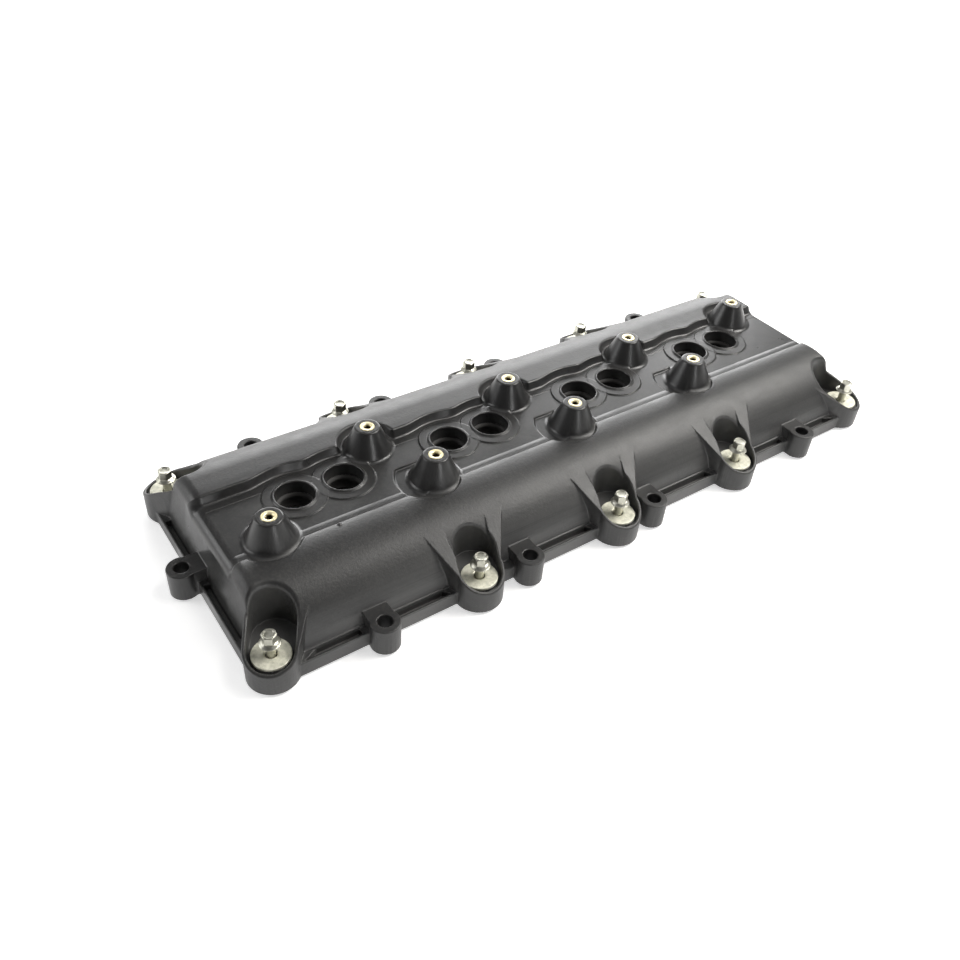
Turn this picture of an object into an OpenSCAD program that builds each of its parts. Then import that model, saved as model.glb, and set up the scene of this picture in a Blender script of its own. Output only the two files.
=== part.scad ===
// Moulded rocker cover for one bank of a four-cylinder row with two spark plugs
// a cylinder. The row lies along X, the gasket face is Z = 0 and the cover is
// centred on X and Y. The near side is -Y and the far side is +Y.

/* [Cover] */
// Distance between the feet of the two end walls
body_len = 505; // [500:1:506]
// Wall thickness of the moulding
wall = 3; // [2.6:0.1:3.4]
// Lean of the end walls away from vertical, in degrees
end_draft = 9; // [7:1:11]
// Height of the sunken middle panel
panel_z = 43.5; // [42.5:0.5:44]
// Axis of the near barrel, across the cover
near_y = -40.3; // [-41:0.1:-39.5]
// Axis height of the near barrel
near_z = 2; // [1.6:0.1:2.4]
// Radius of the near barrel
near_r = 44.5; // [44:0.1:45]
// Axis of the far barrel, across the cover
far_y = 43.7; // [43:0.1:44.4]
// Axis height of the far barrel
far_z = 7; // [6.6:0.1:7.4]
// Radius of the far barrel
far_r = 42.5; // [42:0.1:43]
// Where the near barrel steps down to the panel
near_step_y = -31.3; // [-32:0.1:-31]
// Where the far barrel steps down to the panel
far_step_y = 28; // [27.5:0.1:28.5]

/* [Flange] */
// Length of the flange between its end faces
flange_len = 513; // [512:0.5:514]
// Width of the flange between its side faces
flange_w = 181; // [180:0.5:182]
// Underside of the moulding, above the free gasket face
seat_z = 1.5; // [1:0.1:2]
// Top of the flange
flange_top = 12; // [11:0.5:13]
// Top of the inward lip that carries the gasket groove
lip_top = 7; // [6.5:0.5:8]
// Floor of the channel in the top of the flange
channel_floor = 7.5; // [7:0.5:9]
// Height of the low rib along the inside of that channel
rib_top = 13; // [12.5:0.5:13.5]

/* [Gasket] */
// Half the length of the gasket's centreline
gasket_x = 247.5; // [247:0.1:248]
// Half the width of the gasket's centreline
gasket_y = 81.5; // [81.2:0.1:81.6]
// Size of the 45 degree corner cuts of the centreline
gasket_cut = 17.5; // [17:0.1:18]
// Width of the groove
groove_w = 4; // [3.6:0.1:4]
// Top of the groove
groove_top = 5; // [4.5:0.1:5.2]
// Gap between the gasket and each side of its groove
gasket_gap = 0.1; // [0.05:0.05:0.2]

/* [Plug wells] */
// Distance between cylinders
bore_pitch = 113.3; // [113:0.1:113.6]
// Distance between the two wells of a cylinder
well_gap = 34; // [33.6:0.1:34.2]
// Row of wells, across the cover
well_y = 5.5; // [5:0.1:6]
// Radius of a well at its mouth
well_r = 12.4; // [12:0.1:12.6]
// Height of the raised lip above the panel
lip_rise = 1.5; // [1.2:0.1:1.8]
// Radius of the shallow pad around each well
pad_r = 21.5; // [20.5:0.1:22]
// Height of that pad above the panel
pad_rise = 0.7; // [0.5:0.1:1]
// Outer radius of a well tube
tube_r = 17.2; // [17.1:0.1:17.5]
// Lower end of a well tube
tube_end = 22; // [21:0.5:23]
// Shoulder that the well seal stops against
seal_top = 36; // [35:0.5:37]
// Outer radius of the well seal
seal_r = 14.4; // [14:0.1:14.6]
// Radius of the seal's bore
seal_bore_r = 10.6; // [10.4:0.1:10.8]
// Length of the well seal
seal_len = 12; // [10:0.5:13]

/* [Coil bosses] */
// Offset of a coil boss from its cylinder, along the cover
coil_dx = 45; // [44.5:0.1:45.5]
// Near row of coil bosses
coil_near_y = -21.7; // [-22:0.1:-21.4]
// Far row of coil bosses
coil_far_y = 25.2; // [25:0.1:25.5]
// Top of the moulded boss
boss_top = 61.3; // [61:0.1:61.5]
// Radius of the boss at its top
boss_tip_r = 8.25; // [8:0.05:8.5]
// Radius of the boss where it leaves the panel
boss_foot_r = 16.3; // [16:0.1:16.6]
// Outer radius of the brass insert
insert_r = 4.8; // [4.7:0.05:4.9]
// Minor radius of the insert's thread
thread_r = 2.5; // [2.5:0.05:2.6]
// Length of the insert
insert_len = 12; // [10:0.5:12]
// How far the insert stands out of the boss
insert_proud = 0.2; // [0.1:0.05:0.3]

/* [Bolt stations] */
// Places of the middle and inner bolts along the cover
inner_pitch = 112; // [111.5:0.1:112.5]
// Place of the end bolts along the cover
end_x = 244; // [243.8:0.1:244.2]
// Row of the middle bolts, from the centreline
bolt_y = 90.1; // [90:0.05:90.2]
// How much nearer the centreline the end bolts are
corner_inset = 10.3; // [10.2:0.05:10.4]
// Outer radius of the boss around a bolt
station_r = 15.75; // [15.6:0.05:16]
// Radius of the pocket that gives room for a socket
pocket_r = 13.5; // [13.2:0.1:13.6]
// How far the pocket of a middle bolt runs inwards
pocket_run = 11; // [10.5:0.1:11.5]
// How far an end pocket runs along the cover
corner_run_x = 7.5; // [7:0.1:8]
// How far an end pocket runs across the cover
corner_run_y = 12.5; // [12:0.1:13]
// Floor of the pocket
pocket_floor = 16.5; // [16:0.1:17]
// How far the pocket of a near middle bolt leans towards +X
pocket_skew = 3.5; // [3:0.1:4]
// Height of the boss rim at its outermost point
rim_z = 16.7; // [16.6:0.1:17]
// Half width of a middle station's slanted face where it meets the barrel
gusset_half = 29.7; // [29:0.1:30.5]
// How far that face leans towards +X on the near side
gusset_skew = 5; // [4.5:0.1:5.5]
// Rise of an end station's face along its pocket, near side
corner_slope_near = 0.45; // [0.44:0.01:0.46]
// Rise of an end station's face along its pocket, far side
corner_slope_far = 0.58; // [0.57:0.01:0.59]
// Inner corner of an end station's gusset, along the cover from its bolt
corner_gusset_x = 28.5; // [28:0.1:29]
// Inner corner of an end station's gusset, from the centreline
corner_gusset_y = 71; // [70.8:0.1:71.5]

/* [Bolts and their stack] */
// Radius of the captive bolt's shank
shank_r = 3; // [3:0.05:3.05]
// Length of the shank under the head
shank_len = 27; // [26.8:0.1:27.2]
// Height of the bolt's tip when the cover stands on a bench
tip_z = 0.3; // [0.1:0.1:0.5]
// Radius of the bolt's flange
bolt_flange_r = 6.2; // [6:0.1:6.4]
// Thickness of the bolt's flange
bolt_flange_t = 2.2; // [2:0.1:2.4]
// Hexagon size across flats
hex_af = 8; // [7.9:0.05:8]
// Height of the hexagon
hex_h = 5.4; // [5.2:0.1:5.6]
// Radius of the wide washer
washer_r = 11.5; // [11.3:0.05:11.6]
// Thickness of the wide washer
washer_t = 2; // [1.8:0.1:2.1]
// Radius of the hole in the washer and in the sleeve
clear_r = 3.5; // [3.4:0.05:3.6]
// Outer radius of the steel sleeve
sleeve_r = 5.3; // [5.2:0.05:5.3]
// Radius of the seat for the rubber grommet
grommet_r = 9; // [8.8:0.1:9.2]
// Floor of the seat for the rubber grommet
grommet_floor = 6; // [5.8:0.1:6.5]
// Radius of the hole below the grommet
sleeve_hole_r = 5.6; // [5.5:0.05:5.6]

/* [Clip bosses] */
// Row of the side clip bosses, from the centreline
clip_y = 93.8; // [93.5:0.1:94]
// Place of the end clip bosses along the cover
clip_end_x = 262.6; // [262:0.1:263]
// Place of the end clip bosses across the cover
clip_end_y = 5.5; // [5:0.1:6]
// Outer radius of a clip boss
clip_r = 9.3; // [9.1:0.1:9.5]
// Radius of the hole in a clip boss
clip_hole_r = 4.6; // [4.4:0.1:4.7]
// Top of a clip boss
clip_top = 20.7; // [20:0.1:21]
// Half width of the web that ties a clip boss to the wall
clip_web = 8.25; // [8:0.05:8.5]

/* [Oil baffle] */
// Near edge of the baffle plate
baffle_y0 = 26; // [25.5:0.1:26.5]
// Far edge of the baffle plate
baffle_y1 = 60; // [59:0.5:60.5]
// Length of the baffle plate
baffle_len = 380; // [370:5:390]
// Top face of the baffle plate
baffle_top = 31.2; // [31:0.1:31.4]
// Thickness of the baffle plate
baffle_t = 1.2; // [1:0.1:1.5]
// Depth of the turned-down edges of the plate
baffle_lip = 3; // [2:0.5:4]
// Spacing of the baffle screws
baffle_pitch = 112; // [110:0.5:114]
// Row of the baffle screws
baffle_screw_y = 45; // [44:0.5:46]
// Radius of a baffle screw's thread
baffle_screw_r = 1.9; // [1.8:0.05:1.9]

/* [Hidden] */
$fn = 64;
eps = 0.01;
CYLINDERS = 4;
STATIONS = 5;
SCREWS = 4;
NEAR = -1;
FAR = 1;

body_top = 55;
cut_below = -4;
// How far the slanted faces stand out of the barrels at their inner ends
face_proud = 0.3;
// Chamfer of the flange corners, inside the end bosses
corner_cut = 3;
// How far the flat sides of a round-ended slot stay inside its end arcs
slot_shy = 0.05;
top_far = far_z + far_r;
bolt_x = [-end_x, -inner_pitch, 0, inner_pitch, end_x];
clip_x = [-180, -76, 29, 180];
seal_end = seal_top - seal_len;
insert_top = boss_top + insert_proud;
insert_foot = insert_top - insert_len;
insert_bite = 0.05;
octagon_k = tan(22.5);
baffle_screw_len = 12;
baffle_boss_r = 4;
baffle_pilot_r = baffle_screw_r - 0.15;
baffle_hole_r = baffle_screw_r + 0.4;

// Places along the row

// Middle of cylinder i, counted from 0 at the -X end
function cylinder_x(i) = (i - (CYLINDERS - 1) / 2) * bore_pitch;

// Place of well k, 1 to 8 from the -X end
function well_at(k) = [
  cylinder_x(floor((k - 1) / 2)) + (k % 2 == 1 ? -1 : 1) * well_gap / 2,
  well_y
];

// Place of coil boss k: 1 to 4 are the near row, 5 to 8 the far row
function coil_at(k) = k <= CYLINDERS
  ? [cylinder_x(k - 1) - coil_dx, coil_near_y]
  : [cylinder_x(k - 1 - CYLINDERS) + coil_dx, coil_far_y];

// Bolt station k: 1 to 5 are the near side, 6 to 10 the far side
function station_side(k) = k <= STATIONS ? NEAR : FAR;
function station_x(k) = bolt_x[(k - 1) % STATIONS];
function station_is_end(k) = abs(station_x(k)) > end_x - 1;
function station_reach(k) = bolt_y - (station_is_end(k) ? corner_inset : 0);
function station_at(k) = [station_x(k), station_side(k) * station_reach(k)];

// Inner end of a station's pocket
function pocket_end(k) = station_is_end(k)
  ? station_at(k) - [sign(station_x(k)) * corner_run_x, station_side(k) * corner_run_y]
  : station_at(k) + [station_side(k) == NEAR ? pocket_skew : 0, -station_side(k) * pocket_run];

// Barrel of one side as [distance of its axis from the centreline, axis height,
// radius a slanted face just clears]
function barrel(side) = side == NEAR
  ? [-near_y, near_z, near_r + face_proud]
  : [far_y, far_z, far_r + face_proud];

// Angle of a middle station's face, from the boss rim to where it grazes the barrel
function face_angle(side) =
  let (b = barrel(side), run = bolt_y + station_r - b[0], drop = rim_z - b[1])
  asin(b[2] / norm([run, drop])) - atan2(drop, run);

// Where that face grazes the barrel, from the centreline
function face_end(side) = barrel(side)[0] + barrel(side)[2] * sin(face_angle(side));

// Corners of the gasket's octagon, grown by w
function octagon(w) = [
  [gasket_x + w, gasket_y - gasket_cut + w * octagon_k],
  [gasket_x - gasket_cut + w * octagon_k, gasket_y + w],
  [-gasket_x + gasket_cut - w * octagon_k, gasket_y + w],
  [-gasket_x - w, gasket_y - gasket_cut + w * octagon_k],
  [-gasket_x - w, -gasket_y + gasket_cut - w * octagon_k],
  [-gasket_x + gasket_cut - w * octagon_k, -gasket_y - w],
  [gasket_x - gasket_cut + w * octagon_k, -gasket_y - w],
  [gasket_x + w, -gasket_y + gasket_cut - w * octagon_k]
];

// Shared shapes

// Block from low corner to high corner
module block(low, high) {
  translate(low) cube(high - low);
}

// Upright round-ended slot from p to q
module slot(p, q, r, z0, z1) {
  run = norm(q - p);
  turn = atan2(q[1] - p[1], q[0] - p[0]);
  translate([p[0], p[1], z0]) cylinder(h = z1 - z0, r = r);
  translate([q[0], q[1], z0]) cylinder(h = z1 - z0, r = r);
  translate([p[0], p[1], z0]) rotate([0, 0, turn])
    translate([0, slot_shy - r, 0]) cube([run, 2 * (r - slot_shy), z1 - z0]);
}

// Round bar along X
module bar(y, z, r, length) {
  translate([-length / 2, y, z]) rotate([0, 90, 0]) cylinder(h = length, r = r, $fn = 128);
}

// Gasket ring between two octagons
module gasket_ring(half_w, z0, z1) {
  translate([0, 0, z0]) linear_extrude(height = z1 - z0) difference() {
    polygon(octagon(half_w));
    polygon(octagon(-half_w));
  }
}

// Both barrels and the panel between them, moved inwards by t, floor at z0
module barrels(t, z0, length) {
  difference() {
    union() {
      bar(near_y, near_z, near_r - t, length);
      bar(far_y, far_z, far_r - t, length);
      block([-length / 2, near_y, z0], [length / 2, far_y, panel_z - t]);
      block([-length / 2, far_step_y + t, z0], [length / 2, far_y, top_far - t]);
      if (z0 < near_z) block([-length / 2, near_y - near_r + t, z0], [length / 2, near_y, near_z]);
      if (z0 < far_z) block([-length / 2, far_y, z0], [length / 2, far_y + far_r - t, far_z]);
    }
    block([-length, near_step_y - t, panel_z - t], [length, far_step_y + t, body_top]);
    block([-length, -far_r * 3, -far_r * 3], [length, far_r * 3, z0]);
  }
}

// Body between its leaning end walls, moved inwards by t
module body_form(t, z0) {
  lean = tan(end_draft);
  foot = body_len / 2 - t + lean * (seat_z - z0);
  head = body_len / 2 - t - lean * (body_top - seat_z);
  intersection() {
    barrels(t, z0, body_len + 20);
    rotate([90, 0, 0]) linear_extrude(height = 2 * flange_w, center = true)
      polygon([[-foot, z0], [foot, z0], [head, body_top], [-head, body_top]]);
  }
}

// Boss, slanted face and flared gussets of a middle station. The face grazes the
// barrel and drops into it from there.
module middle_station(k) {
  side = station_side(k);
  at = station_at(k);
  inner = face_end(side);
  outer = bolt_y + station_r + 1;
  rise = tan(face_angle(side));
  top = rim_z + rise * (outer - 1 - inner);
  lean = side == NEAR ? gusset_skew : 0;
  intersection() {
    union() {
      translate([at[0], at[1], seat_z]) cylinder(h = body_top - seat_z, r = station_r);
      translate([at[0], 0, seat_z]) linear_extrude(height = body_top - seat_z) polygon([
        [-station_r, at[1]], [station_r, at[1]],
        [lean + gusset_half, side * inner], [lean - gusset_half, side * inner]
      ]);
    }
    rotate([90, 0, 90]) linear_extrude(height = flange_len + 40, center = true)
      polygon([
        [side * outer, seat_z], [side * outer, rim_z - rise], [side * inner, top],
        [side * (inner - 10), top - 5], [side * (inner - 10), seat_z]
      ]);
  }
}

// Boss, pocket wall and single gusset of an end station. Its face rises along the
// pocket, from the outermost point of the boss.
module end_station(k) {
  side = station_side(k);
  at = station_at(k);
  run = pocket_end(k) - at;
  inwards = run / norm(run);
  across = [-sign(at[0]) * abs(inwards[1]), side * abs(inwards[0])];
  rise = side == NEAR ? corner_slope_near : corner_slope_far;
  reach = 60;
  intersection() {
    union() {
      slot(at, pocket_end(k), station_r, seat_z, body_top);
      translate([0, 0, seat_z]) linear_extrude(height = body_top - seat_z) polygon([
        at, at + station_r * across,
        [at[0] - sign(at[0]) * corner_gusset_x, side * corner_gusset_y],
        [at[0], side * corner_gusset_y]
      ]);
    }
    translate([at[0], at[1], 0]) rotate([0, 0, atan2(inwards[1], inwards[0])]) rotate([90, 0, 0])
      linear_extrude(height = 2 * reach, center = true) polygon([
        [-station_r - 1, seat_z], [reach, seat_z],
        [reach, rim_z + rise * (reach + station_r)], [-station_r - 1, rim_z - rise]
      ]);
  }
}

module station(k) {
  if (station_is_end(k)) end_station(k);
  else middle_station(k);
}

// Flange plate with the channel in its top
module flange_plate() {
  x = flange_len / 2;
  y = flange_w / 2;
  edge = 1.8;
  channel = 4.1;
  difference() {
    translate([0, 0, seat_z]) linear_extrude(height = flange_top - seat_z) polygon([
      [x, y - corner_cut], [x - corner_cut, y], [-x + corner_cut, y], [-x, y - corner_cut],
      [-x, -y + corner_cut], [-x + corner_cut, -y], [x - corner_cut, -y], [x, -y + corner_cut]
    ]);
    difference() {
      block([-x + edge, -y + edge, channel_floor], [x - edge, y - edge, flange_top + 1]);
      block([-x + edge + channel, -y + edge + channel, 0],
            [x - edge - channel, y - edge - channel, body_top]);
    }
  }
  block([-x + edge + channel, -y + edge + channel, seat_z],
        [x - edge - channel, y - edge - channel, rib_top]);
}

// Tube and web of a clip boss at p, tied to the wall in direction d
module clip_boss(p, d) {
  web_run = 14;
  across = [abs(d[1]), abs(d[0])] * clip_web;
  a = p - across;
  b = p + across + d * web_run;
  translate([p[0], p[1], seat_z]) cylinder(h = clip_top - seat_z, r = clip_r);
  block([min(a[0], b[0]), min(a[1], b[1]), seat_z], [max(a[0], b[0]), max(a[1], b[1]), clip_top]);
}

// Places of the clip bosses, each with the direction of its wall
function clip_places() = concat(
  [for (x = clip_x) [[x, -clip_y], [0, 1]]],
  [for (x = clip_x) [[x, clip_y], [0, -1]]],
  [[[-clip_end_x, clip_end_y], [1, 0]], [[clip_end_x, clip_end_y], [-1, 0]]]
);

// Raised lip and pad around a well
module well_mouth(k) {
  p = well_at(k);
  root = 1;
  chamfer = 1;
  translate([p[0], p[1], panel_z - root]) cylinder(h = pad_rise + root, r = pad_r);
  translate([p[0], p[1], panel_z - root])
    cylinder(h = lip_rise + root, r1 = well_r + 1.6 + chamfer, r2 = well_r + 1.6);
}

// Coned boss that carries a brass insert
module coil_boss(k) {
  p = coil_at(k);
  root = 3;
  grow = (boss_foot_r - boss_tip_r) / (boss_top - panel_z);
  translate([p[0], p[1], panel_z - root])
    cylinder(h = boss_top - panel_z + root, r1 = boss_foot_r + grow * root, r2 = boss_tip_r);
}

// Outside of the moulding, solid all through
module outside() {
  body_form(0, seat_z);
  flange_plate();
  for (k = [1 : 2 * STATIONS]) station(k);
  for (c = clip_places()) clip_boss(c[0], c[1]);
  for (k = [1 : 2 * CYLINDERS]) {
    well_mouth(k);
    coil_boss(k);
  }
}

// The hollow underneath, before the tubes and pocket walls are kept
module hollow() {
  body_form(wall, lip_top);
  translate([0, 0, cut_below]) linear_extrude(height = lip_top - cut_below + eps)
    polygon(octagon(-groove_w / 2 - 2.5));
}

// Walls that stand inside the hollow
module inside_walls() {
  for (k = [1 : 2 * STATIONS])
    slot(station_at(k), pocket_end(k), pocket_r + wall, seat_z, body_top);
  for (k = [1 : 2 * CYLINDERS]) {
    p = well_at(k);
    translate([p[0], p[1], tube_end]) cylinder(h = body_top - tube_end, r = tube_r);
  }
  for (i = [1 : SCREWS])
    translate([baffle_x(i), baffle_screw_y, baffle_top])
      cylinder(h = body_top - baffle_top, r = baffle_boss_r);
}

// Pocket, grommet seat and sleeve hole of a station
module station_cuts(k) {
  p = station_at(k);
  slot(p, pocket_end(k), pocket_r, pocket_floor, body_top + 20);
  translate([p[0], p[1], grommet_floor])
    cylinder(h = pocket_floor - grommet_floor + 1, r = grommet_r);
  translate([p[0], p[1], cut_below])
    cylinder(h = grommet_floor - cut_below + 1, r = sleeve_hole_r);
}

// Mouth and seal seat of a well
module well_cuts(k) {
  p = well_at(k);
  translate([p[0], p[1], seal_top - 1]) cylinder(h = panel_z - seal_top + 10, r = well_r);
  translate([p[0], p[1], tube_end - 1]) cylinder(h = seal_top - tube_end + 1, r = seal_r);
}

// Seat of a brass insert, with a relief hole below it
module insert_cuts(k) {
  p = coil_at(k);
  relief = 3;
  translate([p[0], p[1], insert_foot]) cylinder(h = insert_len + 1, r = insert_r - insert_bite);
  translate([p[0], p[1], insert_foot - relief]) cylinder(h = relief + 1, r = thread_r + 0.5);
}

// Centre of baffle screw i along the cover
function baffle_x(i) = (i - (SCREWS + 1) / 2) * baffle_pitch;

// Parts

module cover_shell() {
  color([0.09, 0.09, 0.1]) difference() {
    outside();
    difference() {
      hollow();
      inside_walls();
    }
    for (k = [1 : 2 * STATIONS]) station_cuts(k);
    for (k = [1 : 2 * CYLINDERS]) {
      well_cuts(k);
      insert_cuts(k);
    }
    for (c = clip_places())
      translate([c[0][0], c[0][1], cut_below]) cylinder(h = clip_top - cut_below + 1, r = clip_hole_r);
    for (i = [1 : SCREWS])
      translate([baffle_x(i), baffle_screw_y, baffle_top - 1])
        cylinder(h = baffle_screw_len, r = baffle_pilot_r);
    gasket_ring(groove_w / 2, cut_below, groove_top);
  }
}

module perimeter_gasket() {
  color([0.15, 0.15, 0.16]) gasket_ring(groove_w / 2 - gasket_gap, 0, groove_top);
}

// Sheet plate with two turned-down edges
module oil_baffle() {
  x = baffle_len / 2;
  under = baffle_top - baffle_t;
  color([0.6, 0.6, 0.62]) difference() {
    union() {
      block([-x, baffle_y0, under], [x, baffle_y1, baffle_top]);
      block([-x, baffle_y0, under - baffle_lip], [x, baffle_y0 + baffle_t, under]);
      block([-x, baffle_y1 - baffle_t, under - baffle_lip], [x, baffle_y1, under]);
    }
    for (i = [1 : SCREWS])
      translate([baffle_x(i), baffle_screw_y, under - 1])
        cylinder(h = baffle_t + 2, r = baffle_hole_r);
  }
}

module baffle_screws() {
  head_r = 3.8;
  head_h = 2.4;
  under = baffle_top - baffle_t;
  color([0.7, 0.7, 0.68]) for (i = [1 : SCREWS]) translate([baffle_x(i), baffle_screw_y, 0]) {
    translate([0, 0, under - head_h]) cylinder(h = head_h, r = head_r);
    translate([0, 0, under - eps])
      cylinder(h = baffle_screw_len - baffle_t + eps - 1, r = baffle_screw_r);
  }
}

// Rubber seal with a chamfered mouth at each end of its bore
module well_seal(k) {
  p = well_at(k);
  flare = 2.2;
  color([0.3, 0.32, 0.3]) translate([p[0], p[1], seal_end]) rotate_extrude()
    polygon([
      [seal_bore_r + flare, 0], [seal_r, 0], [seal_r, seal_len],
      [seal_bore_r + flare / 2, seal_len], [seal_bore_r, seal_len - flare / 2],
      [seal_bore_r, flare]
    ]);
}

module brass_insert(k) {
  p = coil_at(k);
  color([0.85, 0.66, 0.3]) translate([p[0], p[1], insert_foot]) difference() {
    cylinder(h = insert_len, r = insert_r);
    translate([0, 0, -1]) cylinder(h = insert_len + 2, r = thread_r);
  }
}

module washer(k) {
  p = station_at(k);
  color([0.75, 0.74, 0.7]) translate([p[0], p[1], pocket_floor]) difference() {
    cylinder(h = washer_t, r = washer_r);
    translate([0, 0, -1]) cylinder(h = washer_t + 2, r = clear_r);
  }
}

// Rubber isolator between the sleeve and the moulding
module grommet(k) {
  p = station_at(k);
  fit = 0.05;
  height = pocket_floor - grommet_floor;
  color([0.12, 0.12, 0.12]) translate([p[0], p[1], grommet_floor]) difference() {
    cylinder(h = height, r = grommet_r - fit);
    translate([0, 0, -1]) cylinder(h = height + 2, r = sleeve_r + fit);
  }
}

// Steel sleeve that takes the bolt's clamp load
module sleeve(k) {
  p = station_at(k);
  height = pocket_floor - seat_z;
  color([0.7, 0.7, 0.7]) translate([p[0], p[1], seat_z]) difference() {
    cylinder(h = height, r = sleeve_r);
    translate([0, 0, -1]) cylinder(h = height + 2, r = clear_r);
  }
}

// Captive hexagon bolt with a flange
module bolt(k) {
  p = station_at(k);
  point = 0.8;
  cone = 0.8;
  color([0.8, 0.79, 0.74]) translate([p[0], p[1], tip_z]) {
    cylinder(h = point, r1 = shank_r - point, r2 = shank_r);
    translate([0, 0, point]) cylinder(h = shank_len - point, r = shank_r);
    translate([0, 0, shank_len]) cylinder(h = bolt_flange_t - cone, r = bolt_flange_r);
    translate([0, 0, shank_len + bolt_flange_t - cone])
      cylinder(h = cone, r1 = bolt_flange_r, r2 = hex_af / 2 + 0.6);
    translate([0, 0, shank_len + bolt_flange_t])
      cylinder(h = hex_h, r = hex_af / 2 / cos(30), $fn = 6);
  }
}

cover_shell();
perimeter_gasket();
oil_baffle();
baffle_screws();
for (k = [1 : 2 * CYLINDERS]) {
  well_seal(k);
  brass_insert(k);
}
for (k = [1 : 2 * STATIONS]) {
  washer(k);
  grommet(k);
  sleeve(k);
  bolt(k);
}
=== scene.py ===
import bpy, bmesh, math
import numpy as np
from concurrent.futures import ThreadPoolExecutor
from mathutils import Matrix, Vector


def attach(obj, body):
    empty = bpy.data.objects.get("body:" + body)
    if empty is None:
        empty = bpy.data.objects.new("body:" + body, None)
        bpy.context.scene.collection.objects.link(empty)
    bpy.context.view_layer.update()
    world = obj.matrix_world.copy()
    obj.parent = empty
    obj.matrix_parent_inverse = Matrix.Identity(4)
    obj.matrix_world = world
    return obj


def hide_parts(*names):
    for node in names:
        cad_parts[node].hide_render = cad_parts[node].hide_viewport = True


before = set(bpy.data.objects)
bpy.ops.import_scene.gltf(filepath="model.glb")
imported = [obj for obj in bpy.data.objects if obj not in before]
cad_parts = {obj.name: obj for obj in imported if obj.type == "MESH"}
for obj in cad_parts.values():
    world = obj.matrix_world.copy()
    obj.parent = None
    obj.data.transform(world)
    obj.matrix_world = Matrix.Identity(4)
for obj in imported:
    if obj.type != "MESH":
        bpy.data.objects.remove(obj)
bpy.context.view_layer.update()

MM = 0.001

# ---------------------------------------------------------------- layout, mm
# two half-round barrels, the panel sunk between them, and the leaning end walls
NEAR_Y, NEAR_Z, NEAR_R = -40.3, 2.0, 44.5
FAR_Y, FAR_Z, FAR_R = 43.7, 7.0, 42.5
PANEL, TOP_FAR, SEAT, WALL = 43.5, 49.5, 1.5, 3.0
NEAR_STEP, FAR_STEP, STEP_LEAN = -31.3, 27.5, 0.5
FOOT_X, LEAN = 252.5, math.radians(9)
END_FILLET = {-1: 7.5, 1: 5.0}

# flange, the channel in its top, the gasket's groove under it
FL_X, FL_Y, FL_TOP, RIB_IN, RIB_TOP = 256.5, 90.5, 12.0, 5.9, 13.0
CHANNEL, CHANNEL_X, CHANNEL_Y, CHANNEL_HALF, CHANNEL_OUT = 7.5, 252.65, 86.65, 2.05, 88.7
END_SPANS = ((-56.0, -7.4), (16.4, 57.5))
GROOVE_X, GROOVE_Y, GROOVE_CUT, GROOVE_HALF, GROOVE_TOP = 247.5, 81.5, 17.5, 2.0, 5.0
RIM_IN, HOLLOW_Z = 4.5, 7.0

# bolt stations, their pockets and slanted faces
INNER, END_X, BOLT_Y, INSET = 112.0, 244.0, 90.1, 10.3
ST_R, POCKET_R, FLOOR_Z, RIM_Z = 15.75, 13.5, 16.5, 16.7
RING_R, RING_DEEP = 11.8, 1.3
GROMMET_R, GROMMET_Z, SLEEVE_R, SLEEVE_Z = 9.0, 6.0, 5.6, 7.0
POCKET_SKEW, GUSSET_SKEW, GUSSET_HALF, PROUD = 3.5, 5.0, 29.7, 0.05
POCKET_RUN, END_RUN_X, END_RUN_Y = 11.0, 7.5, 12.5
CORNER_X, CORNER_Y = 28.5, 71.0
CORNER_RISE = {-1: 0.45, 1: 0.58}
ROW_X = (-END_X, -INNER, 0.0, INNER, END_X)
STATIONS = [(x, s) for s in (-1, 1) for x in ROW_X]

# clip bosses along the sides and at the ends
CLIP_X, CLIP_Y, END_CLIP = (-180.0, -76.0, 29.0, 180.0), 93.8, (262.6, 5.5)
CLIP_R, CLIP_HOLE, CLIP_TOP, WEB = 9.3, 4.6, 20.7, 8.25

# plug wells: bore, seal, tube underneath, pad and lip on the panel
PITCH, WELL_GAP, WELL_Y, WELL_R = 113.3, 34.0, 5.5, 12.4
SEAL_R, SEAL_TOP, SEAL_LONG, TUBE_R, TUBE_Z = 14.4, 36.0, 12.0, 17.2, 22.0
PAD_R, PAD_H, LIP_R, LIP_H = 20.4, 0.5, 14.1, 1.6
CENTRES = [(i - 1.5) * PITCH for i in range(4)]
WELLS = [(c + s * WELL_GAP / 2, WELL_Y) for c in CENTRES for s in (-1, 1)]

# coned bosses, four on the near ridge and four on the far one, and the recess beside them
CONE_TOP, TIP_R, FOOT_R, DISH, DISH_R = 61.3, 8.25, 16.3, 41.4, 25.5
INSERT_Z, INSERT_TOP, INSERT_R, RELIEF_R = 49.5, 61.5, 4.75, 3.0
CONES = [(c - 45.0, -21.7) for c in CENTRES] + [(c + 45.0, 25.2) for c in CENTRES]

# bosses for the baffle's screws, and two small mould marks on the near ridge
BOSS_X, BOSS_Y, BOSS_R, BOSS_Z = (-168.0, -56.0, 56.0, 168.0), 45.0, 4.0, 31.2
PILOT_R, PILOT_TOP = 1.75, 42.2
MARKS, MARK_R = ((-176.4, -33.6, 45.9), (-233.8, -54.2, 43.6)), 1.2

def is_end(x):
    return abs(x) > 200


def reach(x):
    """distance of a bolt from the middle line"""
    return BOLT_Y - (INSET if is_end(x) else 0)


def bolt_place(x, s):
    return (x, s * reach(x))


def pocket_end(x, s):
    """inner end of a pocket's middle line, which starts at the bolt"""
    if is_end(x):
        return (x - math.copysign(END_RUN_X, x), s * (reach(x) - END_RUN_Y))
    return (x + (POCKET_SKEW if s < 0 else 0), s * (reach(x) - POCKET_RUN))


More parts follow.
